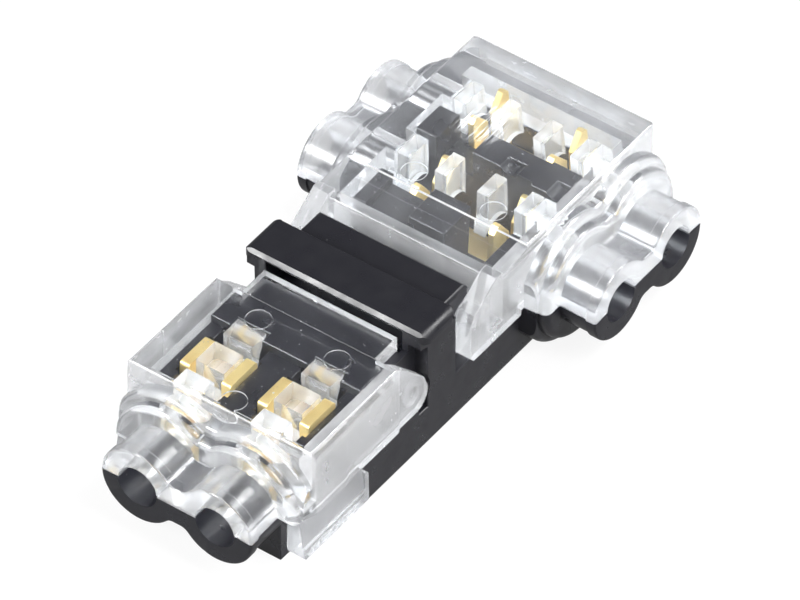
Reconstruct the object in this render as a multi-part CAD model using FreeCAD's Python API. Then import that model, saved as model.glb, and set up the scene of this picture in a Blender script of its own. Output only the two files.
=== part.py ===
import FreeCAD, Part
import math
import os
from FreeCAD import Vector

# Quick wire connector: a tap splice for two pairs of unstripped wires.
# The stem end takes one pair along Y, and the crossbar lets the other pair run through along X.
# While it is modelled, z = 0 is the plane of the wires, y = 0 the stem's mouth and x = 0 the middle.
# Sizes are in millimetres.

# Wires and their tunnels
wire_bore = 2.6           # clear bore for one insulated wire
tunnel_wall = 1.05        # wall round a bore
mouth_rim = 0.1           # how far the mouth plate stands proud of its tunnels
mouth_length = 0.65
tunnel_length = 1.8
rib_length = 0.65         # outer, smaller step of the collar
rib_drop = 0.9            # its top is this far below the lids' flat top
rib_round = 0.45
collar_length = 0.85      # root of the collar, at the box
collar_drop = 0.35
collar_round = 0.5
web_height = 1.25         # half height of the web between two tunnels
valley_radius = 0.75      # rounding where a tunnel meets the web
trough_radius = 1.5       # the troughs inside the case, a little wider than the bores

# Case
case_width = 12.4
base_depth = 3.8          # from the wire plane down to the flat underside
lid_height = 4.4          # from the wire plane up to the lids' flat top
bridge_rise = 0.45        # the bridge's top over the lids' flat top
plate_thickness = 1.2     # roof of each lid
lid_wall = 1.1
side_inset = 0.35         # the lids and the bridge overhang the base's sides by this much
skirt_drop = 0.45         # how far the lids' side walls reach below the wire plane
nose_inset = 1.5          # the base's nose, between the latches, is this much narrower on each side
nose_front = 3.05
side_step = 0.08          # the stem lid's sides step in by this much, this far behind its front
side_step_place = 3.25
rear_corner = 0.7         # rounding of the crossbar lid's rear corners
ridge_step = 0.12         # the crossbar lid's flat top rises from its sloped front in a small step
edge_round = 0.3
small_round = 0.12
seam_gap = 0.05           # gap where a lid rests on the base
slide_gap = 0.12          # gap beside what swings

# Lengths along the stem. They share out what the wire end and the crossbar leave of the overall length.
overall_length = 36.0
crossbar_length = 15.6    # from the crossbar lid's front to the rear
stem_lid_length = 8.05
stem_front_wall = 0.8
step_setback = 2.1        # from the stem lid's rear edge forward to the raised block
tongue_length = 2.1
bridge_gap = 0.2
bridge_length = 2.9
bridge_to_leg = 0.65      # the bridge's sides start this far behind its front edge
leg_overhang = 0.35       # and reach this far behind its rear edge
behind_bridge = 3.2       # from the bridge to the crossbar lid
rear_step_drop = 0.4      # top of the block between them, below the lids' flat top
rear_step_gap = 0.6       # and its distance from the crossbar lid
cap_drop = 0.25           # from here up the bridge's cap stands out over the base's sides
cap_corner = 0.6
cap_chamfer = 0.2
front_to_axis = 9.2       # from the crossbar lid's front to the middle of the through wires
cross_front_wall = 1.5
cross_rear_wall = 2.0

# Raised blocks inside the base, with the room between their tops and the lids' plates
stem_block_room = 0.6     # round the stem's contacts
rib_room = 0.3            # between the two through wires
rib_gap_top = 1.0
rib_gap = (-3.45, -1.2)   # the low stretch of that rib, along X
front_block = (-1.15, 1.3)
front_block_gap = 2.4     # from the crossbar lid's front
front_shelf_room = 1.3    # left of the front block
post_width = 0.85         # posts beside the front block
post_room = 0.8
block_inset = 0.13        # blocks stay this far inside the base's core
thumb_places = (1.3, 4.55)
thumb_radius = 0.65

# Hinges
hinge_boss = 1.3          # diameter of the bosses on the ears
boss_clearance = 0.05     # radial running clearance in the socket
boss_length = 0.65
ear_thickness = 0.85
ear_radius = 1.1          # round end of the stem lid's ears
stem_hinge_setback = 0.4  # in front of the tongue's end
cross_hinge_lead = 1.15   # in front of the crossbar lid
cross_ear_length = 1.95
hinge_z = 0.65
cross_hinge_drop = 0.9    # below the lid's plate
open_angle = 30           # how far each lid opens, in degrees
open_clearance = 0.1      # room round what sweeps past as a lid opens

# Latches of the stem lid
latch_lead = 1.05         # in front of the stem lid's box
latch_length = 5.9
latch_thickness = 1.15
latch_proud = 0.2
latch_drop = 2.95         # reach below the wire plane
panel_depth = 0.45        # the tab's outer face slopes inwards by this much towards its top
panel_rim = 0.3           # but not along its rear edge
grip_height = 1.0         # of the strip along the foot
grip_lines = (0.42, 0.68) # shallow grooves along that strip, over its lower edge
grip_depth = 0.08
foot_chamfer = 0.22
catch_height = 0.22       # the base's catch stands this far out, just inside the tab
catch_length = 3.4
latch_round = 0.7         # lower corners of the tab

# Round ejector marks in the undersides of the lids' plates, as (x, distance from the lid's front)
mark_radius = 0.75
mark_depth = 0.08
stem_marks = ((2.65, 7.1), (-2.65, 7.1), (0.0, 1.35))
cross_marks = ((2.68, 5.0), (-2.68, 5.0))

# Contacts
sheet = 0.4               # thickness of the brass
rear_blade_room = 0.2     # between the tops of the slotted blades and the lids' plates
front_blade_room = 1.2
stem_blade_room = 1.25
slot_width = 0.6
barrel_width = 3.4        # outside, across the wire
barrel_setback = 1.95     # behind the front of the stem lid's box
barrel_length = 3.0
hem = 0.62                # the barrel's side walls are folded double
hem_room = 0.2
hem_inset = 0.28          # they are this much shorter than the barrel at each end
strip_width = 1.5
strip_top = -1.75         # top face of the flat floor strips
side_run_inset = 0.73     # where the right contact passes beside the front row, from the base's core
blade_to_run = 1.58       # and the crossbar's blades stand this far inside it
cross_blade_width = 3.3
contact_gap = 0.06        # room for the brass in its pockets

# Pushers under the lids, which press the wires into the blades
stem_pusher_width = 1.9
cross_pusher_length = 1.8
cross_pusher_width = 0.8
pusher_drop = 0.45        # lower end over the wire plane, beside the wire
saddle_radius = 1.1       # their saddles are a little tighter than the wire
pusher_steps = (-1.25, 1.25, 2.55)   # the crossbar's pushers, from its blades outwards

# Worked out from the sizes above
bore_r = wire_bore / 2
tunnel_r = bore_r + tunnel_wall
mouth_r = tunnel_r + mouth_rim
rib_radius = lid_height - rib_drop
collar_radius = lid_height - collar_drop
wire_pitch = case_width * 13 / 31     # 5.2 between the two wires of a pair in a case of 12.4
half_pitch = wire_pitch / 2
half_width = case_width / 2
nose_half_width = half_width - nose_inset
inner_half = half_width - lid_wall
core_half = inner_half - slide_gap
body_half = half_width - side_inset
roof = lid_height - plate_thickness
tongue_top = lid_height - 0.2
bridge_height = lid_height + bridge_rise
cap_underside = lid_height - cap_drop
rear_step_top = lid_height - rear_step_drop
stem_block_top = roof - stem_block_room
rib_top = roof - rib_room
front_shelf_top = roof - front_shelf_room
post_top = roof - post_room
rear_blade_height = roof - rear_blade_room
front_blade_height = roof - front_blade_room
stem_blade_height = roof - stem_blade_room
hem_height = roof - hem_room
cross_hinge_z = roof - cross_hinge_drop

# Places along the stem. Its lengths stretch or shrink together with the overall length.
end_length = mouth_length + tunnel_length + rib_length + collar_length
cross_lid_front = overall_length - crossbar_length
drawn_run = stem_lid_length + tongue_length + bridge_gap + bridge_length + behind_bridge
stretch = (cross_lid_front - end_length) / drawn_run
stem_lid_rear = end_length + stretch * stem_lid_length
step_front = stem_lid_rear - stretch * step_setback
tongue_end = stem_lid_rear + stretch * tongue_length
ear_peak = (stem_lid_rear + 0.75 * stretch, roof + 0.35)
bridge_front = tongue_end + stretch * bridge_gap
bridge_rear = bridge_front + stretch * bridge_length
leg_front = bridge_front + stretch * bridge_to_leg
leg_rear = bridge_rear + stretch * leg_overhang
rear_step_end = cross_lid_front - stretch * rear_step_gap
stem_hinge_y = tongue_end - stretch * stem_hinge_setback
cross_hinge_y = cross_lid_front - stretch * cross_hinge_lead
cross_ear_front = cross_lid_front - stretch * cross_ear_length
latch_front = end_length - latch_lead
latch_rear = latch_front + stretch * latch_length
barrel_front = end_length + stretch * barrel_setback
barrel_rear = barrel_front + stretch * barrel_length
crossbar_axis = cross_lid_front + front_to_axis
front_block_y = cross_lid_front + front_block_gap
row_front = crossbar_axis - half_pitch
row_rear = crossbar_axis + half_pitch

ear_inner = core_half + slide_gap
ear_outer = ear_inner + ear_thickness
ledge_z = -skirt_drop - seam_gap
side_run_x = core_half - side_run_inset
cross_blade_offset = side_run_x - blade_to_run
wires_x = (-half_pitch, half_pitch)
rows_y = (row_front, row_rear)
big = 60.0


def block(x0, x1, y0, y1, z0, z1):
    """A box between two corners."""
    return Part.makeBox(x1 - x0, y1 - y0, z1 - z0, Vector(x0, y0, z0))


def rod_x(y, z, radius, x0, x1):
    return Part.makeCylinder(radius, x1 - x0, Vector(x0, y, z), Vector(1, 0, 0))


def rod_y(x, z, radius, y0, y1):
    return Part.makeCylinder(radius, y1 - y0, Vector(x, y0, z), Vector(0, 1, 0))


def joined(shapes):
    """One solid from pieces that touch."""
    whole = shapes[0].fuse(list(shapes[1:])) if len(shapes) > 1 else shapes[0]
    return whole.removeSplitter()


def prism_x(points, x0, x1):
    """A solid with an outline of (y, z) points, drawn out along X."""
    corners = [Vector(x0, y, z) for y, z in points]
    face = Part.Face(Part.makePolygon(corners + corners[:1]))
    return face.extrude(Vector(x1 - x0, 0, 0))


def rounded(shape, radius, chosen):
    """Rounds the edges that the test picks."""
    edges = [e for e in shape.Edges if chosen(e)]
    return shape.makeFillet(radius, edges)


def at_height(z):
    """Picks the edges that lie wholly at one height."""
    return lambda e: e.BoundBox.ZLength < 1e-6 and abs(e.BoundBox.ZMin - z) < 1e-6


def end_outline(radius, web, valley, y):
    """The figure of eight round a pair of bores: two circles, a web, and a rounding in each valley."""
    reach = (radius + valley) ** 2 - (web + valley) ** 2
    flat = max(half_pitch - math.sqrt(reach), 0.01)
    share = radius / (radius + valley)
    touch_x = half_pitch - share * (half_pitch - flat)
    touch_z = share * (web + valley)
    to_touch = math.atan2(touch_z - web - valley, touch_x - flat)
    middle = (to_touch - math.pi / 2) / 2
    bend_x = flat + valley * math.cos(middle)
    bend_z = web + valley + valley * math.sin(middle)

    def at(x, z):
        return Vector(x, y, z)

    edges = []
    for side in (1, -1):
        edges.append(Part.Arc(at(side * touch_x, touch_z), at(side * (half_pitch + radius), 0),
                              at(side * touch_x, -touch_z)).toShape())
        for up in (1, -1):
            edges.append(Part.Arc(at(side * flat, up * web), at(side * bend_x, up * bend_z),
                                  at(side * touch_x, up * touch_z)).toShape())
    for up in (1, -1):
        edges.append(Part.makeLine(at(-flat, up * web), at(flat, up * web)))
    return Part.Face(Part.Wire(Part.__sortEdges__(edges)))


def end_step(radius, web, valley, y0, y1, front_round):
    """One length of an end, with its front edges rounded."""
    solid = end_outline(radius, web, valley, y0).extrude(Vector(0, y1 - y0, 0))
    if front_round:
        solid = rounded(solid, front_round, lambda e: abs(e.BoundBox.YMax - y0) < 1e-6)
    return solid


def tunnels(y_end):
    """The mouth plate and the two tunnels behind it."""
    mouth = end_step(mouth_r, web_height + mouth_rim, valley_radius - mouth_rim, 0, mouth_length, 0.15)
    return joined([mouth, end_step(tunnel_r, web_height, valley_radius, mouth_length, y_end, 0)])


def wire_end():
    """A wire end as on the stem: mouth plate, tunnels, and the two steps of the collar."""
    y_rib = mouth_length + tunnel_length
    y_root = y_rib + rib_length
    rib = end_step(rib_radius, rib_radius - 0.75, 0.5, y_rib, y_root, rib_round)
    y_wall = end_length + side_inset + 0.25
    root = end_step(collar_radius, collar_radius - 0.65, 0.4, y_root, y_wall, collar_round)
    sides = block(-half_width, half_width, 0, y_wall, -base_depth, big)
    return joined([tunnels(y_rib), rib, root]).common(sides)


def to_crossbar(shape, side):
    """Turns a stem end to one end of the crossbar: side 1 is +X and side -1 is -X."""
    turned = shape.copy()
    turned.rotate(Vector(0, 0, 0), Vector(0, 0, 1), 90 * side)
    turned.translate(Vector(side * (half_width + end_length), crossbar_axis, 0))
    return turned


def upper(shape):
    return shape.common(block(-big, big, -big, big, seam_gap, big))


def lower(shape):
    return shape.common(block(-big, big, -big, big, -big, 0))


def stem_bores(y_end):
    return [rod_y(x, 0, bore_r, -1, y_end) for x in wires_x]


def crossbar_bores():
    reach = half_width + end_length + 1
    spans = ((-reach, -inner_half), (inner_half, reach))
    return [rod_x(y, 0, bore_r, x0, x1) for y in rows_y for x0, x1 in spans]


def stem_troughs(y_end):
    """Troughs on which the stem's wires lie inside the case, open upwards."""
    y0 = end_length + stem_front_wall
    troughs = []
    for x in wires_x:
        troughs.append(rod_y(x, 0, trough_radius, y0, y_end))
        troughs.append(block(x - trough_radius, x + trough_radius, y0, y_end, 0, stem_block_top + 0.1))
    return troughs


def crossbar_troughs():
    return [rod_x(y, 0, trough_radius, -inner_half, inner_half) for y in rows_y]


def marks(places, y0, share):
    """The ejector marks of a lid, as discs to cut from its plate."""
    spots = [Vector(x, y0 + share * y, roof - 0.1) for x, y in places]
    return [Part.makeCylinder(mark_radius, mark_depth + 0.1, spot) for spot in spots]


def hinge_bosses(y, z, radius, length):
    """Round bosses, or the sockets for them, on both sides of a hinge line."""
    outer = ear_inner + 0.2
    inner = ear_inner - length
    return [rod_x(y, z, radius, inner, outer), rod_x(y, z, radius, -outer, -inner)]


def stem_pushers():
    """Three blocks for each wire: in front of the blades, between them and behind them."""
    rows = (
        (end_length + stem_front_wall, barrel_front - 0.1),
        (barrel_front + sheet + 0.3, barrel_rear - sheet - 0.15),
        (barrel_rear + 0.15, step_front + 0.55),
    )
    blade_rise = stem_blade_height - hinge_z
    reach_to_blade = math.hypot(stem_hinge_y - barrel_front, blade_rise)
    reach_to_rear = math.hypot(stem_hinge_y - (barrel_rear - sheet), blade_rise)
    reach_to_step = math.hypot(stem_hinge_y - (step_front + 0.7), roof - hinge_z)
    reaches = (reach_to_blade, reach_to_rear, reach_to_step)
    half = stem_pusher_width / 2
    pushers = []
    for x in wires_x:
        for (y0, y1), reach in zip(rows, reaches):
            body = block(x - half, x + half, y0, y1, pusher_drop, roof + 0.2)
            body = body.cut(rod_y(x, 0, saddle_radius, y0 - 1, y1 + 1))
            body = body.cut(rod_x(stem_hinge_y, hinge_z, reach + open_clearance, -big, big))
            pushers.append(body)
    return pushers


def cross_pushers():
    """Six blocks across each of the two through wires."""
    half_x = cross_pusher_width / 2
    half_y = cross_pusher_length / 2
    pushers = []
    for y in rows_y:
        for step in pusher_steps:
            for side in (1, -1):
                x = side * min(cross_blade_offset + step, inner_half + 0.1 - half_x)
                body = block(x - half_x, x + half_x, y - half_y, y + half_y, pusher_drop, roof + 0.2)
                body = rounded(body, 0.2, at_height(pusher_drop))
                pushers.append(body.cut(rod_x(y, 0, saddle_radius, x - half_x - 1, x + half_x + 1)))
    return pushers


def stem_ears():
    """Side ears that run back from the stem lid to their round hinge ends."""
    top = lid_height - 0.15
    y0 = stem_lid_rear - 1.0
    shoulder = (stem_hinge_y + 0.14, hinge_z + 1.72)
    round_end = rod_x(stem_hinge_y, hinge_z, ear_radius, ear_inner, ear_outer)
    knee = (stem_hinge_y + ear_radius * 0.72, hinge_z + ear_radius * 0.95)
    outline = [(y0, -skirt_drop), (stem_hinge_y, -skirt_drop), (stem_hinge_y, hinge_z),
               (stem_hinge_y + ear_radius, hinge_z), knee, shoulder,
               ear_peak, (stem_lid_rear - 0.1, top), (y0, top)]
    ear = joined([prism_x(outline, ear_inner, ear_outer), round_end])
    return [ear, ear.mirror(Vector(0, 0, 0), Vector(1, 0, 0))]


def latch_tab():
    """The right latch: a thick tab with a sloped finger panel and two grooves along its foot."""
    y0 = latch_front
    y1 = latch_rear
    outer = half_width + latch_proud
    inner = outer - latch_thickness
    outline = [(y0, -latch_drop), (y1, -latch_drop - 0.2), (y1, -0.75), (y1 - 0.35, -0.35),
               (y0 + 1.0, 0.75), (y0, 1.1)]
    tab = prism_x(outline, inner, outer)
    tab = rounded(tab, latch_round, lambda e: e.BoundBox.XLength > 0.5
                  and e.BoundBox.ZMax < -latch_drop + 0.1)
    ledge = grip_height - latch_drop
    slope = [Vector(outer, y0 - 1, ledge), Vector(outer + 1, y0 - 1, ledge), Vector(outer + 1, y0 - 1, 2),
             Vector(outer - panel_depth, y0 - 1, 1.2), Vector(outer - 0.1, y0 - 1, ledge + 0.15)]
    panel = Part.Face(Part.makePolygon(slope + slope[:1])).extrude(Vector(0, y1 + 1 - panel_rim - y0, 0))
    cuts = [panel, foot_edge(outer)] + [grip_groove(outer, height) for height in grip_lines]
    return tab.cut(cuts)


def foot_edge(outer):
    """What the chamfer takes off along the foot of a tab."""
    inner = outer - foot_chamfer
    low = -latch_drop
    high = foot_chamfer - latch_drop
    outline = ((inner, low - 0.5), (outer + 1, low - 0.5), (outer + 1, high), (outer, high), (inner, low))
    corners = [Vector(x, latch_front - 1, z) for x, z in outline]
    face = Part.Face(Part.makePolygon(corners + corners[:1]))
    return face.extrude(Vector(0, latch_rear + 2 - latch_front, 0))


def grip_groove(outer, height):
    """A shallow V groove along the strip."""
    y0 = latch_front + 0.6
    z = height - latch_drop
    corners = [Vector(outer + 0.05, y0, z - grip_depth), Vector(outer + 0.05, y0, z + grip_depth),
               Vector(outer - grip_depth, y0, z)]
    return Part.Face(Part.makePolygon(corners + corners[:1])).extrude(Vector(0, latch_rear - 0.6 - y0, 0))


def stem_lid():
    """Clear lid over the stem's pair of wires."""
    y0 = end_length
    shell = block(-half_width, half_width, y0, stem_lid_rear, seam_gap, lid_height)
    shell = rounded(shell, edge_round, at_height(lid_height))
    skirts = block(-half_width, half_width, y0 + 0.35, stem_lid_rear, -skirt_drop, 1.0)
    skirts = skirts.cut(block(-inner_half, inner_half, 0, big, -big, big))
    tongue = block(-core_half + 0.5, core_half - 0.5, stem_lid_rear - 1, tongue_end, roof, tongue_top)
    tongue = rounded(tongue, small_round, lambda e: abs(e.BoundBox.YMin - tongue_end) < 1e-6)
    end = upper(wire_end())
    hollow = block(-inner_half, inner_half, y0 + stem_front_wall, big, -big, roof)
    shell = joined([shell, end]).cut(hollow)
    stepped = block(half_width - side_step, half_width + 1, y0 + stretch * side_step_place,
                    stem_lid_rear + 0.1, -skirt_drop - 0.1, lid_height + 0.1)
    tab = latch_tab()
    tabs = [tab, tab.mirror(Vector(0, 0, 0), Vector(1, 0, 0))]
    bosses = hinge_bosses(stem_hinge_y, hinge_z, hinge_boss / 2, boss_length)
    box = joined([shell, skirts]).cut([stepped, stepped.mirror(Vector(0, 0, 0), Vector(1, 0, 0))])
    lid = joined([box, tongue] + tabs + stem_ears() + bosses + stem_pushers())
    return lid.cut(stem_bores(y0 + stem_front_wall) + marks(stem_marks, end_length, stretch))


def cross_ears():
    """Side ears that reach forward from the crossbar lid, with a flat front."""
    top = lid_height - 0.1
    front = cross_ear_front
    outline = [(front, 0.0), (front, lid_height - 2.3), (front + 0.35, lid_height - 1.4),
               (cross_lid_front + 0.4, top), (cross_lid_front + 1.0, top), (cross_lid_front + 1.0, -0.35),
               (front + 0.3, -0.35)]
    ear = prism_x(outline, ear_inner, half_width)
    return [ear, ear.mirror(Vector(0, 0, 0), Vector(1, 0, 0))]


def crossbar_lid():
    """Clear lid over the two through wires."""
    y0 = cross_lid_front
    y1 = overall_length
    ridge = lid_height - ridge_step
    outline = [(y0 + 0.3, seam_gap), (y0 + 0.35, lid_height - 0.7), (y0 + 0.45, lid_height - 0.35),
               (y0 + 1.1, lid_height - 0.3), (y0 + 3.45, ridge), (y0 + 3.5, lid_height),
               (y1 - 0.45, lid_height), (y1 - 0.13, lid_height - 0.13), (y1, lid_height - 0.45),
               (y1, seam_gap)]
    plan = block(-half_width, half_width, y0 - 1, y1, -1, lid_height + 1)
    plan = rounded(plan, rear_corner, lambda e: e.BoundBox.ZLength > 1 and e.BoundBox.YMin > y1 - 0.1)
    shell = prism_x(outline, -half_width, half_width).common(plan)
    section = block(-half_width, half_width, y0 - 1, y1 + 1, -1, lid_height)
    section = rounded(section, edge_round, lambda e: e.BoundBox.YLength > 1 and e.BoundBox.ZMin > 0)
    shell = shell.common(section)
    ends = [upper(to_crossbar(wire_end(), side)) for side in (1, -1)]
    hollow = block(-inner_half, inner_half, y0 + cross_front_wall, y1 - cross_rear_wall, -big, roof)
    skirts = block(-half_width, half_width, y0 + 0.5, row_front - tunnel_r - 1.5, -0.35, 1.0)
    skirts = skirts.cut(block(-inner_half, inner_half, 0, big, -big, big))
    shell = joined([shell] + ends).cut(hollow)
    bosses = hinge_bosses(cross_hinge_y, cross_hinge_z, hinge_boss / 2, boss_length)
    lid = joined([shell, skirts] + cross_ears() + bosses + cross_pushers())
    return lid.cut(crossbar_bores() + marks(cross_marks, cross_lid_front, 1))


def contact_space(solid, grow):
    """The pocket that a contact's box needs in the base, a little larger all round."""
    box = solid.BoundBox
    return block(box.XMin - grow, box.XMax + grow, box.YMin - grow, box.YMax + grow, box.ZMin - grow, big)


def blade_y(x, y, width, top, foot):
    """A slotted blade across Y, one sheet thick, with a V mouth over its slot."""
    half = width / 2
    mouth = min(half - sheet, 1.15)
    slot_top = top - mouth
    slot = slot_width / 2
    outline = [(-half, foot), (half, foot), (half, top - 0.25), (half - 0.25, top), (mouth, top),
               (slot, slot_top), (slot, foot + 0.9), (-slot, foot + 0.9), (-slot, slot_top),
               (-mouth, top), (-half + 0.25, top), (-half, top - 0.25)]
    corners = [Vector(x + across, y, z) for across, z in outline]
    face = Part.Face(Part.makePolygon(corners + corners[:1]))
    return face.extrude(Vector(0, sheet, 0))


def blade_x(x, y, width, top, foot):
    """The same blade turned for a wire along X."""
    blade = blade_y(0, 0, width, top, foot)
    blade.translate(Vector(0, -sheet / 2, 0))
    blade.rotate(Vector(0, 0, 0), Vector(0, 0, 1), 90)
    blade.translate(Vector(x, y, 0))
    return blade


def barrel(x):
    """The stem end of a contact: a folded channel with a slotted blade at each end."""
    half = barrel_width / 2
    foot = strip_top - sheet
    y1 = barrel_rear
    floor = block(x - half, x + half, barrel_front, y1, foot, strip_top)
    walls = []
    for x0 in (x - half, x + half - hem):
        wall = block(x0, x0 + hem, barrel_front + hem_inset, y1 - hem_inset, foot, hem_height)
        walls.append(rounded(wall, 0.25, lambda e: e.BoundBox.YLength < 1e-6 and e.BoundBox.XLength > 0.1
                             and e.BoundBox.ZMin > hem_height - 0.1))
    blades = [blade_y(x, barrel_front, barrel_width, stem_blade_height, foot),
              blade_y(x, y1 - sheet, barrel_width, stem_blade_height, foot)]
    return [floor] + walls + blades


def cross_cradle(y, height):
    """Two slotted blades that stand on the ends of a floor below a through wire."""
    foot = strip_top - sheet
    half = cross_blade_width / 2
    reach = cross_blade_offset + sheet / 2
    blades = [blade_x(x, y, cross_blade_width, height, foot)
              for x in (-cross_blade_offset, cross_blade_offset)]
    return [block(-reach, reach, y - half, y + half, foot, strip_top)] + blades


def flat(x0, x1, y0, y1):
    """A flat run of the brass strip."""
    return block(x0, x1, y0, y1, strip_top - sheet, strip_top)


def left_run():
    """The left contact's strip, straight back to the front row."""
    half = strip_width / 2
    return [flat(-half_pitch - half, -half_pitch + half, barrel_rear, row_front)]


def right_run():
    """The right contact's strip: back, round the outside of the front row, then to the rear row."""
    half = strip_width / 2
    turn = row_front - cross_blade_width / 2 - 1.9
    return [flat(half_pitch - half, half_pitch + half, barrel_rear, turn),
            flat(half_pitch - half, side_run_x + half, turn - 0.2, turn + 1.1),
            flat(side_run_x - half, side_run_x + half, turn, row_rear + 0.6),
            flat(0, side_run_x + half, row_rear - 0.6, row_rear + 0.6)]


def contact_left():
    return joined(barrel(-half_pitch) + left_run() + cross_cradle(row_front, front_blade_height))


def contact_right():
    return joined(barrel(half_pitch) + right_run() + cross_cradle(row_rear, rear_blade_height))


def contact_pockets():
    """Room in the base for both contacts, open upwards where the blades stand."""
    pockets = []
    for x in wires_x:
        for part in barrel(x):
            pockets.append(contact_space(part, contact_gap))
    for y in rows_y:
        for part in cross_cradle(y, roof):
            pockets.append(contact_space(part, contact_gap))
    for run in left_run() + right_run():
        box = run.BoundBox
        top = strip_top + contact_gap
        pockets.append(block(box.XMin - contact_gap, box.XMax + contact_gap, box.YMin - contact_gap,
                             box.YMax + contact_gap, box.ZMin - contact_gap, top))
    return pockets


def bridge():
    """The bar across the case between the lids, with rounded corners and legs down both sides."""
    cap = block(-half_width, half_width, bridge_front, bridge_rear, cap_underside, bridge_height)
    ends = rounded(cap, cap_corner, lambda e: e.BoundBox.YLength > 1
                   and e.BoundBox.ZMin > cap_underside + 0.1)
    cap = rounded(cap, cap_corner, lambda e: e.BoundBox.ZLength > 0.5).common(ends)
    edge = bridge_height - cap_chamfer
    cap = cap.cut(prism_x([(bridge_front - 0.1, edge - 0.1), (bridge_front - 0.1, bridge_height + 0.1),
                           (bridge_front + cap_chamfer + 0.1, bridge_height + 0.1)], -half_width, half_width))
    bar = block(-body_half, body_half, bridge_front, bridge_rear, roof, cap_underside + 0.1)
    legs = [bar]
    for x0, x1 in ((-body_half, 0.35 - inner_half), (inner_half - 0.35, body_half)):
        legs.append(block(x0, x1, leg_front, leg_rear, ledge_z, roof + 0.6))
    return [cap] + legs


def swing_room():
    """What is cut away under the bridge so that the tongue and the ears can swing down into it."""
    x1 = core_half - 0.5 + slide_gap
    stem_reach = math.hypot(tongue_end - stem_hinge_y, tongue_top - hinge_z) + open_clearance
    ear_reach = math.hypot(stem_hinge_y - ear_peak[0], ear_peak[1] - hinge_z) + open_clearance
    middle = (bridge_front + bridge_rear) / 2
    stem_room = rod_x(stem_hinge_y, hinge_z, stem_reach, -x1, x1)
    stem_room = stem_room.common(block(-x1, x1, tongue_end - 0.15, middle + 0.4, roof - 0.8, big))
    slope = math.radians(open_angle)
    lip = hinge_z + (tongue_top - hinge_z) / math.cos(slope) + open_clearance
    lip -= (bridge_front - stem_hinge_y) * math.tan(slope)
    drop = math.tan(slope)
    low = roof - 0.2
    wedge = prism_x([(bridge_front - 0.2, low), (bridge_front - 0.2, lip + 0.2 * drop),
                     (bridge_front + 1.2, lip - 1.2 * drop), (bridge_front + 1.2, low)], -x1, x1)
    ear_room = rod_x(stem_hinge_y, hinge_z, ear_reach, -big, big)
    outside = block(-half_width, half_width, bridge_front - 0.2, leg_front, -1, big)
    outside = outside.cut(block(-core_half, core_half, 0, big, -big, big))
    leg_room = rod_x(stem_hinge_y, hinge_z, ear_radius + 0.33, -big, big)
    leg_room = leg_room.common(block(-big, big, leg_front - 1, leg_front + 1, ledge_z, big))
    leg_room = leg_room.cut(block(-core_half, core_half, 0, big, -big, big))
    return [stem_room, wedge, ear_room.common(outside), leg_room]


def stem_block():
    """The raised block round the stem's contacts, with room in front for the lid's front wall to swing."""
    reach = stem_hinge_y - end_length - stem_front_wall - open_clearance
    room = rod_x(stem_hinge_y, hinge_z, reach, -core_half, core_half)
    return block(-core_half, core_half, end_length, step_front + 0.5, -1, stem_block_top).common(room)


def crossbar_blocks():
    """The rib between the through wires, and the block and posts in front of them."""
    side = core_half - block_inset
    post = side - post_width
    rib_y = (row_front + trough_radius, row_rear - trough_radius)
    front_y = (front_block_y, row_front - cross_blade_width / 2)
    rib = block(-side, side, rib_y[0], rib_y[1], -0.5, rib_top)
    rib = rib.cut(block(rib_gap[0], rib_gap[1], 0, big, rib_gap_top, big))
    rib = rib.cut([rod_y(x, rib_top + 0.3, thumb_radius, rib_y[0] - 1, rib_y[0] + 1.1) for x in thumb_places])
    front = [(front_block[0], front_block[1], rib_top), (-side, front_block[0] + 0.1, front_shelf_top),
             (post, side, post_top), (-side, -post, post_top)]
    return [rib] + [block(x0, x1, front_y[0], front_y[1], -0.5, top) for x0, x1, top in front]


def latch_catches():
    """A low wedge on each side of the nose, level with the foot of the latch tab."""
    length = stretch * catch_length
    y0 = (latch_front + latch_rear - length) / 2
    x0 = nose_half_width - 0.3
    x1 = core_half + catch_height
    corners = [Vector(x0, y0, -2.5), Vector(x1, y0, -2.3), Vector(x1, y0, -1.9), Vector(x0, y0, -1.2)]
    wedge = Part.Face(Part.makePolygon(corners + corners[:1])).extrude(Vector(0, length, 0))
    return [wedge, wedge.mirror(Vector(0, 0, 0), Vector(1, 0, 0))]


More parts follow.
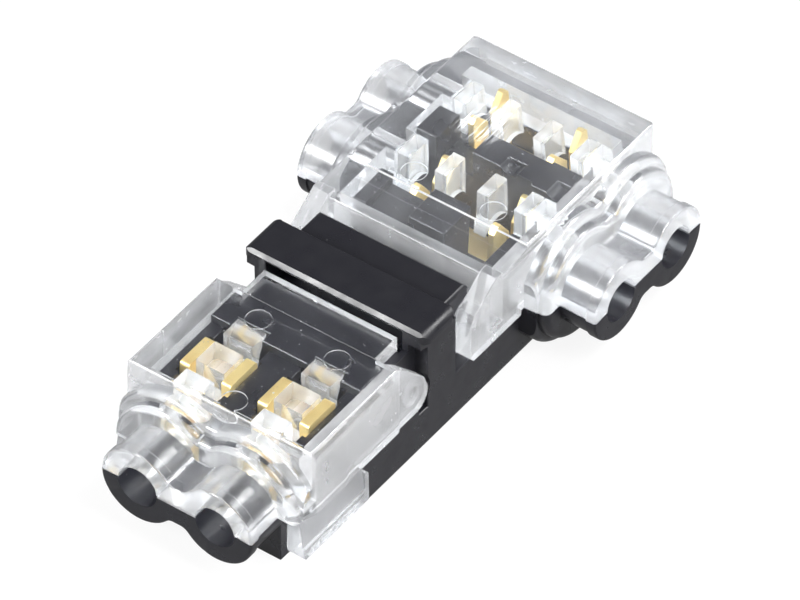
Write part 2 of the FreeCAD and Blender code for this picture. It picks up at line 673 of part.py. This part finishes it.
def base():
    """Black base: the lower halves of the wire ends, the floor, the raised blocks and the bridge."""
    latch_end = latch_rear + 0.15
    cross_front = row_front - tunnel_r - 1.2
    rear = overall_length - side_inset
    nose = block(-nose_half_width, nose_half_width, nose_front, latch_end + 0.5, -base_depth, 0)
    body = block(-body_half, body_half, latch_end, rear, -base_depth, ledge_z)
    body = rounded(body, 0.25, at_height(-base_depth))
    core = block(-core_half, core_half, latch_end, leg_rear, ledge_z - 0.5, 0)
    rear_core = block(-core_half, core_half, leg_rear - 1, cross_front + 0.5, ledge_z - 0.5, 0)
    rear_rest = block(-body_half, body_half, cross_front, rear, ledge_z - 0.5, 0)
    ends = [lower(tunnels(nose_front + 0.2))]
    ends += [lower(to_crossbar(wire_end(), side)) for side in (1, -1)]
    step = block(-core_half, core_half, step_front, leg_front + 0.5, -1, roof - seam_gap)
    under_bridge = block(-core_half, core_half, leg_front - 0.5, leg_rear, -1, roof + 0.6)
    rear_step = block(-core_half, core_half, leg_rear - 0.4, rear_step_end, -1, rear_step_top)
    rear_step = rounded(rear_step, edge_round, lambda e: e.BoundBox.ZMin > rear_step_top - 0.01)
    seat = block(-core_half, core_half, rear_step_end - 0.3, cross_lid_front + 0.1, -1, 1.0)
    pieces = [nose, body, core, rear_core, rear_rest, step, under_bridge, rear_step, seat, stem_block()]
    pieces += ends + bridge() + crossbar_blocks() + latch_catches()
    solid = joined(pieces)
    notches = []
    for x in wires_x:
        half = stem_pusher_width / 2 + slide_gap
        notches.append(block(x - half, x + half, step_front - 1, step_front + 0.7, -bore_r, big))
    sockets = hinge_bosses(stem_hinge_y, hinge_z, hinge_boss / 2 + boss_clearance, boss_length + 0.1)
    sockets += hinge_bosses(cross_hinge_y, cross_hinge_z, hinge_boss / 2 + boss_clearance, boss_length + 0.1)
    solid = solid.cut(stem_bores(end_length + stem_front_wall) + stem_troughs(step_front + 0.6))
    solid = solid.cut(crossbar_bores() + crossbar_troughs())
    solid = solid.cut(notches + swing_room() + sockets)
    return solid.cut(contact_pockets()).removeSplitter()


def place(shape):
    """Moves the finished piece so that the origin is under the middle of the whole connector."""
    moved = shape.copy()
    moved.translate(Vector(0, -overall_length / 2, base_depth))
    return moved


os.makedirs("parts", exist_ok=True)
pieces = {
    "base": base(),
    "stem_lid": stem_lid(),
    "crossbar_lid": crossbar_lid(),
    "contact_left": contact_left(),
    "contact_right": contact_right(),
}
for name, shape in pieces.items():
    placed = place(shape)
    placed.exportStep("parts/" + name + ".step")
    box = placed.BoundBox
    print(name, "solids", len(placed.Solids), "valid", placed.isValid(), "volume", round(placed.Volume, 2),
          "box", [round(v, 2) for v in (box.XMin, box.YMin, box.ZMin, box.XMax, box.YMax, box.ZMax)])
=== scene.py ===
import math

import bmesh
import bpy
from mathutils import Matrix, Vector


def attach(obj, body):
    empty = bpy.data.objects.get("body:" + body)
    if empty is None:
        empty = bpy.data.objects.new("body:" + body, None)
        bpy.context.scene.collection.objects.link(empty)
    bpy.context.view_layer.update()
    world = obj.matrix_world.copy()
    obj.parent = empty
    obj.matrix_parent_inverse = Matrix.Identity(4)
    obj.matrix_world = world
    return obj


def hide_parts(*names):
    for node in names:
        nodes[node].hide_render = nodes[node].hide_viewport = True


# A tap splice connector: clear lids over a black base, brass blades inside.
# Everything is in metres, and mm turns the sizes that are easier to read in millimetres.

mm = 0.001

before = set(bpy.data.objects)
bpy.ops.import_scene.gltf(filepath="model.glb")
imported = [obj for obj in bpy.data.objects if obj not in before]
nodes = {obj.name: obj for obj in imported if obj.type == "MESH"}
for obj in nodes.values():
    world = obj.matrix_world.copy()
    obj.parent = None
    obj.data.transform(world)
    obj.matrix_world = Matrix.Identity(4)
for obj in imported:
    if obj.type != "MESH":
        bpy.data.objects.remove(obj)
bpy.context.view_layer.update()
print("frame loaded:", sorted(nodes))


# Helpers for node trees

def newMaterial(name):
    material = bpy.data.materials.new(name)
    material.use_nodes = True
    material.node_tree.nodes.clear()
    return material, material.node_tree


def feed(tree, socket, value):
    # a socket is linked, and anything else is set as the value
    if isinstance(value, bpy.types.NodeSocket):
        tree.links.new(value, socket)
    else:
        socket.default_value = value


def addNode(tree, kind, settings=None, inputs=None):
    node = tree.nodes.new(kind)
    for key, value in (settings or {}).items():
        setattr(node, key, value)
    for key, value in (inputs or {}).items():
        feed(tree, node.inputs[key], value)
    return node


def objectPoints(tree, scale=(1, 1, 1), turn=(0, 0, 0)):
    place = addNode(tree, "ShaderNodeTexCoord")
    mapping = addNode(tree, "ShaderNodeMapping", None,
                      {"Vector": place.outputs["Object"], "Scale": scale, "Rotation": turn})
    return mapping.outputs["Vector"]


def noiseAt(tree, points, scale, detail):
    node = addNode(tree, "ShaderNodeTexNoise", None,
                   {"Vector": points, "Scale": scale, "Detail": detail, "Roughness": 0.5})
    return node.outputs["Fac"]


def spread(tree, value, low, high, toLow, toHigh):
    node = addNode(tree, "ShaderNodeMapRange", None,
                   {"Value": value, "From Min": low, "From Max": high, "To Min": toLow, "To Max": toHigh})
    return node.outputs["Result"]


def patches(tree, points, pattern, toLow, toHigh):
    # a pattern is the noise's scale and detail, and the lowest and highest value of it that count
    scale, detail, low, high = pattern
    return spread(tree, noiseAt(tree, points, scale, detail), low, high, toLow, toHigh)


def maths(tree, operation, first, second):
    node = addNode(tree, "ShaderNodeMath", {"operation": operation}, {0: first, 1: second})
    return node.outputs[0]


def mixColors(tree, factor, first, second):
    node = addNode(tree, "ShaderNodeMix", {"data_type": "RGBA"}, {"Factor": factor, 6: first, 7: second})
    return node.outputs[2]


def mixShaders(tree, factor, first, second):
    return addNode(tree, "ShaderNodeMixShader", None, {0: factor, 1: first, 2: second}).outputs[0]


def finishSurface(tree, shader):
    addNode(tree, "ShaderNodeOutputMaterial", None, {"Surface": shader})


def bumpFrom(tree, height, strength, distance):
    node = addNode(tree, "ShaderNodeBump", None,
                   {"Height": height, "Strength": strength, "Distance": distance})
    return node.outputs["Normal"]


# Finishes. A pattern is a noise's scale, its detail, and the stretch of its values that counts.

clearPlastic = {
    "color": (0.95, 0.962, 0.975, 1),
    "ior": 1.585,
    "shadowTint": (0.88, 0.9, 0.92, 1),
    "rippleScale": 420,
    "rippleDepth": 0.004 * mm,
    "grainScale": 4200,
    "grainDepth": 0.0022 * mm,
    "reliefDetail": 2.0,
    "grainyAreas": ("frosted", "tunnel", "crossTunnel", "latchPaintedShade"),
    "roughPattern": (900, 4.0, 0.3, 0.75),
    "plateAreas": ("polished", "hazed"),
    "hazePattern": (260, 4.0, 0.4, 0.7),
    "hazeShares": (0.6, 1.6),          # of the area's milk
    "speckPattern": (6800, 1.0, 0.76, 0.80),
    "speckShare": 0.5,
    "speckColor": (0.85, 0.86, 0.88, 1),
    "scuffCentre": (-1.6 * mm, 12.3 * mm, 8.2 * mm),
    "scuffReach": 1.9 * mm,
    "scuffCore": 0.35,                 # share of the reach that is scuffed fully
    "scuffTurns": (0.15, 0.75, 2.6),
    "scuffStretch": (1, 0.05, 1),
    "scuffPattern": (8000, 1.0, 0.60, 0.66),
    "scuffShare": 0.8,
    "cloudPattern": (380, 3.0, 0.35, 0.7),
    "cloudShares": (0.75, 1.2),
    "cloudThrough": 0.5,               # how much of the milk lets light through
}

# Each area of the lids: lowest and highest roughness, share of milky scatter, and its colour
clearAreas = {
    "polished": (0.01, 0.03, 0.003, (0.93, 0.93, 0.95, 1)),
    "hazed": (0.02, 0.05, 0.026, (0.93, 0.93, 0.96, 1)),
    "frosted": (0.16, 0.30, 0.23, (0.95, 0.95, 0.96, 1)),
    # the latch panels' milk colour is grey: painted shade over the frosting, the plastic itself is as clear
    # as the rest
    "latchPaintedShade": (0.28, 0.42, 0.45, (0.42, 0.42, 0.43, 1)),
    "tunnel": (0.13, 0.24, 0.05, (0.93, 0.93, 0.95, 1)),
    "crossTunnel": (0.20, 0.25, 0.12, (0.90, 0.90, 0.92, 1)),
    "pusherSide": (0.08, 0.18, 0.17, (0.95, 0.945, 0.93, 1)),
    # pusher ends and mark walls: rough frosting, with heavy white milk that paints the bright internal
    # reflection seen in them
    "pusherEndPaintedHighlight": (0.25, 0.40, 0.70, (0.98, 0.98, 0.98, 1)),
}


def reliefHeight(tree, points, scale, depth):
    return maths(tree, "MULTIPLY", noiseAt(tree, points, scale, clearPlastic["reliefDetail"]), depth)


def scuffMask(tree, points):
    # fine crossing scratches that fade out round one place
    offset = addNode(tree, "ShaderNodeVectorMath", {"operation": "DISTANCE"},
                     {0: points, 1: clearPlastic["scuffCentre"]})
    reach = clearPlastic["scuffReach"]
    near = spread(tree, offset.outputs["Value"], clearPlastic["scuffCore"] * reach, reach, 1.0, 0.0)
    lines = 0.0
    for turn in clearPlastic["scuffTurns"]:
        stretched = objectPoints(tree, clearPlastic["scuffStretch"], (0, 0, turn))
        lines = maths(tree, "MAXIMUM", lines,
                      patches(tree, stretched, clearPlastic["scuffPattern"], 0.0, 1.0))
    return maths(tree, "MULTIPLY", near, lines)


def plateMarks(tree, points, milk):
    # haze, dust and the scuff, whichever is strongest
    low, high = clearPlastic["hazeShares"]
    haze = patches(tree, points, clearPlastic["hazePattern"], low * milk, high * milk)
    specks = patches(tree, points, clearPlastic["speckPattern"], 0.0, clearPlastic["speckShare"])
    scuff = maths(tree, "MULTIPLY", scuffMask(tree, points), clearPlastic["scuffShare"])
    return maths(tree, "MAXIMUM", maths(tree, "MAXIMUM", specks, scuff), haze)


def makeClearPlastic(area):
    roughLow, roughHigh, milk, milkColor = clearAreas[area]
    material, tree = newMaterial(area + "Clear")
    points = objectPoints(tree)
    height = reliefHeight(tree, points, clearPlastic["rippleScale"], clearPlastic["rippleDepth"])
    if area in clearPlastic["grainyAreas"]:
        grain = reliefHeight(tree, points, clearPlastic["grainScale"], clearPlastic["grainDepth"])
        height = maths(tree, "ADD", height, grain)
    body = addNode(tree, "ShaderNodeBsdfPrincipled", None, {
        "Base Color": clearPlastic["color"],
        "Roughness": patches(tree, points, clearPlastic["roughPattern"], roughLow, roughHigh),
        "IOR": clearPlastic["ior"],
        "Transmission Weight": 1.0,
        "Normal": bumpFrom(tree, height, 1.0, 1.0),
    })
    shader = body.outputs[0]
    if area in clearPlastic["plateAreas"]:
        dusty = addNode(tree, "ShaderNodeBsdfDiffuse", None, {"Color": clearPlastic["speckColor"]})
        shader = mixShaders(tree, plateMarks(tree, points, milk), shader, dusty.outputs[0])
    else:
        low, high = clearPlastic["cloudShares"]
        cloud = patches(tree, points, clearPlastic["cloudPattern"], low * milk, high * milk)
        through = addNode(tree, "ShaderNodeBsdfTranslucent", None, {"Color": milkColor})
        matt = addNode(tree, "ShaderNodeBsdfDiffuse", None, {"Color": milkColor})
        scatter = mixShaders(tree, clearPlastic["cloudThrough"], matt.outputs[0], through.outputs[0])
        shader = mixShaders(tree, cloud, shader, scatter)
    seeThrough = addNode(tree, "ShaderNodeBsdfTransparent", None, {"Color": clearPlastic["shadowTint"]})
    paths = addNode(tree, "ShaderNodeLightPath")
    finishSurface(tree, mixShaders(tree, paths.outputs["Is Shadow Ray"], shader, seeThrough.outputs[0]))
    return material


blackPlastic = {
    "color": (0.0120, 0.0120, 0.0155, 1),
    "ior": 1.5,
    "rough": (0.24, 0.42),
    "roughPattern": (700, 4.0, 0.3, 0.7),
    "grainScale": 5200,
    "grainDetail": 2.0,
    "grainDepth": 0.0015 * mm,
    "dustColor": (0.32, 0.32, 0.33, 1),
    "dustPattern": (3600, 1.0, 0.79, 0.84),
    "dustShare": 0.55,
}


def makeBlackPlastic():
    material, tree = newMaterial("blackPlastic")
    points = objectPoints(tree)
    grain = noiseAt(tree, points, blackPlastic["grainScale"], blackPlastic["grainDetail"])
    dust = patches(tree, points, blackPlastic["dustPattern"], 0.0, blackPlastic["dustShare"])
    body = addNode(tree, "ShaderNodeBsdfPrincipled", None, {
        "Base Color": mixColors(tree, dust, blackPlastic["color"], blackPlastic["dustColor"]),
        "Roughness": patches(tree, points, blackPlastic["roughPattern"], *blackPlastic["rough"]),
        "IOR": blackPlastic["ior"],
        "Normal": bumpFrom(tree, grain, 1.0, blackPlastic["grainDepth"]),
    })
    finishSurface(tree, body.outputs[0])
    return material


brass = {
    "color": (0.93, 0.73, 0.32, 1),
    "tarnish": (0.80, 0.56, 0.22, 1),
    "tarnishPattern": (500, 2.0, 0.45, 0.75),
    "tarnishShare": 0.7,
    "metallic": 0.75,
    "rough": (0.30, 0.42),
    "brushStretch": (1, 0.12, 1),
    "brushScale": 5200,
    "brushDetail": 3.0,
    "brushRange": (0.3, 0.7),
    "brushStrength": 0.4,
    "brushDepth": 0.0005 * mm,
}


def makeBrass():
    material, tree = newMaterial("stampedBrass")
    brushed = noiseAt(tree, objectPoints(tree, brass["brushStretch"]), brass["brushScale"],
                      brass["brushDetail"])
    tarnish = patches(tree, objectPoints(tree), brass["tarnishPattern"], 0.0, brass["tarnishShare"])
    body = addNode(tree, "ShaderNodeBsdfPrincipled", None, {
        "Base Color": mixColors(tree, tarnish, brass["color"], brass["tarnish"]),
        "Metallic": brass["metallic"],
        "Roughness": spread(tree, brushed, *brass["brushRange"], *brass["rough"]),
        "Normal": bumpFrom(tree, brushed, brass["brushStrength"], brass["brushDepth"]),
    })
    finishSurface(tree, body.outputs[0])
    return material


finishes = {
    "black": makeBlackPlastic(),
    "brass": makeBrass(),
}
for area in clearAreas:
    finishes[area] = makeClearPlastic(area)
print("finishes made")


# Fine ribs across the foot of each latch

latchRibs = {
    "count": 10,
    "pitch": 0.44 * mm,
    "length": 0.5 * mm,
    "radius": 0.07 * mm,
    "sides": 12,
    "firstY": -14.2 * mm,
    "sideX": 6.345 * mm,
    "middleZ": 1.36 * mm,
}


def ribTree():
    tree = bpy.data.node_groups.new("latchRibRow", "GeometryNodeTree")
    tree.is_modifier = True
    wanted = {"Count": "Int", "Pitch": "Float", "Rib Length": "Float", "Radius": "Float",
              "Right Start": "Vector", "Left Start": "Vector", "Material": "Material"}
    sockets = {}
    for name, kind in wanted.items():
        socket = tree.interface.new_socket(name, in_out="INPUT", socket_type="NodeSocket" + kind)
        sockets[name] = socket.identifier
    tree.interface.new_socket("Geometry", in_out="OUTPUT", socket_type="NodeSocketGeometry")
    given = addNode(tree, "NodeGroupInput").outputs
    step = addNode(tree, "ShaderNodeCombineXYZ", None, {"Y": given["Pitch"]})
    rib = addNode(tree, "GeometryNodeMeshCylinder", None,
                  {"Vertices": latchRibs["sides"], "Radius": given["Radius"], "Depth": given["Rib Length"]})
    rows = addNode(tree, "GeometryNodeJoinGeometry")
    for start in ("Right Start", "Left Start"):
        row = addNode(tree, "GeometryNodeMeshLine", None,
                      {"Count": given["Count"], "Start Location": given[start], "Offset": step.outputs[0]})
        tree.links.new(row.outputs[0], rows.inputs[0])
    copies = addNode(tree, "GeometryNodeInstanceOnPoints", None,
                     {"Points": rows.outputs[0], "Instance": rib.outputs[0]})
    whole = addNode(tree, "GeometryNodeRealizeInstances", None, {"Geometry": copies.outputs[0]})
    finish = addNode(tree, "GeometryNodeSetMaterial", None,
                     {"Geometry": whole.outputs[0], "Material": given["Material"]})
    addNode(tree, "NodeGroupOutput", None, {0: finish.outputs[0]})
    return tree, sockets


def makeLatchRibs():
    tree, sockets = ribTree()
    piece = bpy.data.objects.new("latchRibs", bpy.data.meshes.new("latchRibs"))
    bpy.context.scene.collection.objects.link(piece)
    row = piece.modifiers.new("row", "NODES")
    row.node_group = tree
    row[sockets["Count"]] = latchRibs["count"]
    row[sockets["Pitch"]] = latchRibs["pitch"]
    row[sockets["Rib Length"]] = latchRibs["length"]
    row[sockets["Radius"]] = latchRibs["radius"]
    row[sockets["Right Start"]] = (latchRibs["sideX"], latchRibs["firstY"], latchRibs["middleZ"])
    row[sockets["Left Start"]] = (-latchRibs["sideX"], latchRibs["firstY"], latchRibs["middleZ"])
    row[sockets["Material"]] = finishes["frosted"]
    shown = piece.evaluated_get(bpy.context.evaluated_depsgraph_get())
    plain = bpy.data.meshes.new_from_object(shown)
    piece.modifiers.clear()
    piece.data = plain
    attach(piece, "stem_lid")
    print("latch ribs made:", len(plain.polygons), "faces")


makeLatchRibs()


# Dressed copies of the solids, with their points merged and a fine chamfer on their long edges

dressing = {
    "mergeWithin": 0.0005 * mm,
    "flatWithin": math.radians(0.3),   # faces this level with each other become one
    "edgeFrom": math.radians(50),      # edges at least this sharp and long are chamfered
    "edgeLength": 0.7 * mm,
    "edgeChamfer": 0.045 * mm,
    "sharpFrom": math.radians(26),     # and those over this are shaded as edges
}

# Where each area of the lids lies: first parts of a face's normal, then places
areaPlaces = {
    "level": 0.9,
    "downward": -0.2,
    "upright": 0.5,
    "plateLow": 6.9 * mm,
    "hazedBehind": 2.0 * mm,
    "latchTop": 3.1 * mm,
    "panelX": 6.38 * mm,
    "stemCollar": -14.1 * mm,
    "crossbarCollar": 6.25 * mm,
    "insideX": 5.15 * mm,
    "cavities": ((-13.3 * mm, -7.4 * mm), (3.8 * mm, 16.1 * mm)),
    "pusherFoot": 5.45 * mm,
    "markFoot": 7.0 * mm,
}


def clearAreaOf(centre, normal):
    # the plates are polished, and the wire ends are clearer than the frosted walls
    if abs(normal.z) > areaPlaces["level"] and centre.z > areaPlaces["plateLow"]:
        return "hazed" if centre.y > areaPlaces["hazedBehind"] else "polished"
    onPanel = abs(normal.x) > areaPlaces["level"] and abs(centre.x) < areaPlaces["panelX"]
    # the side panels of the latches take the grey milk that paints their shade
    if onPanel and centre.z < areaPlaces["latchTop"]:
        return "latchPaintedShade"
    if centre.y < areaPlaces["stemCollar"]:
        return "tunnel"
    if abs(centre.x) > areaPlaces["crossbarCollar"]:
        return "crossTunnel"
    inside = any(low < centre.y < high for low, high in areaPlaces["cavities"])
    if not inside or abs(centre.x) >= areaPlaces["insideX"]:
        return "frosted"
    # the downward pusher ends and the upright walls of the marks get the white milk of painted highlight
    pusherEndPaintedHighlight = centre.z < areaPlaces["pusherFoot"] and normal.z < areaPlaces["downward"]
    markWall = centre.z > areaPlaces["markFoot"] and abs(normal.z) < areaPlaces["upright"]
    return "pusherEndPaintedHighlight" if pusherEndPaintedHighlight or markWall else "pusherSide"


def softenEdges(shape):
    # joins what is flat, then takes a fine chamfer off the long straight outer edges
    bmesh.ops.dissolve_limit(shape, angle_limit=dressing["flatWithin"], verts=shape.verts, edges=shape.edges)
    chosen = [edge for edge in shape.edges
              if len(edge.link_faces) == 2 and edge.is_convex and edge.calc_length() > dressing["edgeLength"]
              and dressing["edgeFrom"] < edge.calc_face_angle(0)]
    bmesh.ops.bevel(shape, geom=chosen, offset=dressing["edgeChamfer"], offset_type="OFFSET", segments=1,
                    profile=0.5, affect="EDGES", clamp_overlap=False)
    bmesh.ops.triangulate(shape, faces=[face for face in shape.faces if len(face.verts) > 4])


def dressNode(nodeName, pieceName, bodyName, areas):
    mesh = nodes[nodeName].data.copy()
    mesh.name = pieceName
    mesh.materials.clear()
    for area in areas:
        mesh.materials.append(finishes[area])
    shape = bmesh.new()
    shape.from_mesh(mesh)
    bmesh.ops.remove_doubles(shape, verts=shape.verts, dist=dressing["mergeWithin"])
    softenEdges(shape)
    for face in shape.faces:
        face.smooth = True
        face.material_index = 0
        if len(areas) > 1:
            face.material_index = areas.index(clearAreaOf(face.calc_center_median(), face.normal))
    for edge in shape.edges:
        edge.smooth = len(edge.link_faces) == 2 and edge.calc_face_angle(math.pi) < dressing["sharpFrom"]
    shape.to_mesh(mesh)
    shape.free()
    piece = bpy.data.objects.new(pieceName, mesh)
    bpy.context.scene.collection.objects.link(piece)
    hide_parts(nodeName)
    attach(piece, bodyName)


lidAreas = list(clearAreas)
dressNode("base", "blackBase", "base", ["black"])
dressNode("stem_lid", "clearStemLid", "stem_lid", lidAreas)
dressNode("crossbar_lid", "clearCrossbarLid", "crossbar_lid", lidAreas)
dressNode("contact_left", "brassContactLeft", "base", ["brass"])
dressNode("contact_right", "brassContactRight", "base", ["brass"])
print("pieces dressed")


# Floor, light and camera

studio = {
    "floorSize": 1.2,
    "floorColor": (0.86, 0.86, 0.86, 1),
    "floorSeen": 0.9,
    "floorMirrored": 0.38,
    "worldLevel": 0.45,
    "worldMirrored": 0.10,
    "worldThrough": 0.08,     # what the clear plastic shows of the room overhead
    "worldBeside": 0.9,       # and of the pale room round it
    "wallTop": (0.12, 0.38),  # heights between which the one passes into the other
    "lampsAim": (0, 0, 4 * mm),
    "lamps": (
        # name, place, size, power
        ("frontLeft", (-0.21, -0.35, 0.29), 0.15, 2.2),
        ("sideRight", (0.37, 0.02, 0.35), 0.24, 2.0),
        ("topRight", (0.27, 0.01, 0.42), 0.10, 1.0),
        ("backRight", (0.18, 0.33, 0.36), 0.20, 1.4),
    ),
}


def makeFloor():
    size = studio["floorSize"]
    mesh = bpy.data.meshes.new("floor")
    corners = [(-size, -size, 0), (size, -size, 0), (size, size, 0), (-size, size, 0)]
    mesh.from_pydata(corners, [], [(0, 1, 2, 3)])
    floor = bpy.data.objects.new("floor", mesh)
    bpy.context.scene.collection.objects.link(floor)
    material, tree = newMaterial("paleFloor")
    matt = addNode(tree, "ShaderNodeBsdfDiffuse", None, {"Color": studio["floorColor"]})
    paths = addNode(tree, "ShaderNodeLightPath")
    strength = spread(tree, paths.outputs["Is Glossy Ray"], 0, 1, 1, studio["floorMirrored"])
    glow = addNode(tree, "ShaderNodeEmission", None, {"Color": (1, 1, 1, 1), "Strength": strength})
    seen = maths(tree, "MAXIMUM", paths.outputs["Is Camera Ray"], paths.outputs["Is Transmission Ray"])
    seen = maths(tree, "MULTIPLY", seen, studio["floorSeen"])
    share = maths(tree, "MAXIMUM", seen, paths.outputs["Is Glossy Ray"])
    finishSurface(tree, mixShaders(tree, share, matt.outputs[0], glow.outputs[0]))
    mesh.materials.append(material)


def makeWorld():
    world = bpy.data.worlds.new("studio")
    bpy.context.scene.world = world
    world.use_nodes = True
    tree = world.node_tree
    tree.nodes.clear()
    white = addNode(tree, "ShaderNodeBackground", None, {"Color": (1, 1, 1, 1), "Strength": 1.0})
    paths = addNode(tree, "ShaderNodeLightPath")
    direction = addNode(tree, "ShaderNodeTexCoord")
    height = addNode(tree, "ShaderNodeSeparateXYZ", None, {"Vector": direction.outputs["Generated"]})
    low, high = studio["wallTop"]
    room = spread(tree, height.outputs["Z"], low, high, studio["worldBeside"], studio["worldThrough"])
    level = spread(tree, paths.outputs["Is Glossy Ray"], 0, 1, studio["worldLevel"], studio["worldMirrored"])
    through = paths.outputs["Is Transmission Ray"]
    inside = maths(tree, "MULTIPLY", through, room)
    outside = maths(tree, "MULTIPLY", maths(tree, "SUBTRACT", 1.0, through), level)
    plain = addNode(tree, "ShaderNodeBackground", None,
                    {"Color": (1, 1, 1, 1), "Strength": maths(tree, "ADD", inside, outside)})
    shown = mixShaders(tree, paths.outputs["Is Camera Ray"], plain.outputs[0], white.outputs[0])
    addNode(tree, "ShaderNodeOutputWorld", None, {"Surface": shown})


def makeLamps():
    middle = Vector(studio["lampsAim"])
    for name, place, size, power in studio["lamps"]:
        lamp = bpy.data.lights.new(name, "AREA")
        lamp.shape = "SQUARE"
        lamp.size = size
        lamp.energy = power
        holder = bpy.data.objects.new(name, lamp)
        holder.location = place
        holder.rotation_euler = (Vector(place) - middle).to_track_quat("Z", "Y").to_euler()
        bpy.context.scene.collection.objects.link(holder)


# The photograph's viewing angle, read from the sizes and places of the wire mouths
viewpoint = {
    "azimuth": math.radians(36.308),
    "elevation": math.radians(44.251),
    "roll": math.radians(-0.244),
    "distance": 600 * mm,
    "aside": 12.029 * mm,
    "above": 11.125 * mm,
    "stemMouth": (0, -18.0 * mm, 3.8 * mm),
    "lens": 502.935,
    "sensor": 36.0,
    "clip": (0.05, 20),
}


def makeCamera():
    azimuth, elevation, roll = viewpoint["azimuth"], viewpoint["elevation"], viewpoint["roll"]
    right = Vector((math.cos(azimuth), math.sin(azimuth), 0))
    back = Vector((math.sin(azimuth) * math.cos(elevation), -math.cos(azimuth) * math.cos(elevation),
                   math.sin(elevation)))
    up = back.cross(right)
    right, up = (right * math.cos(roll) + up * math.sin(roll), up * math.cos(roll) - right * math.sin(roll))
    lens = bpy.data.cameras.new("photoView")
    lens.lens = viewpoint["lens"]
    lens.sensor_width = viewpoint["sensor"]
    lens.clip_start, lens.clip_end = viewpoint["clip"]
    camera = bpy.data.objects.new("photoView", lens)
    bpy.context.scene.collection.objects.link(camera)
    turned = Matrix((right, up, back)).transposed().to_4x4()
    place = Vector(viewpoint["stemMouth"]) + back * viewpoint["distance"]
    place += right * viewpoint["aside"] + up * viewpoint["above"]
    camera.matrix_world = Matrix.Translation(place) @ turned
    bpy.context.scene.camera = camera


makeFloor()
makeWorld()
makeLamps()
makeCamera()
bpy.context.scene.view_settings.view_transform = "Standard"
print("studio ready")
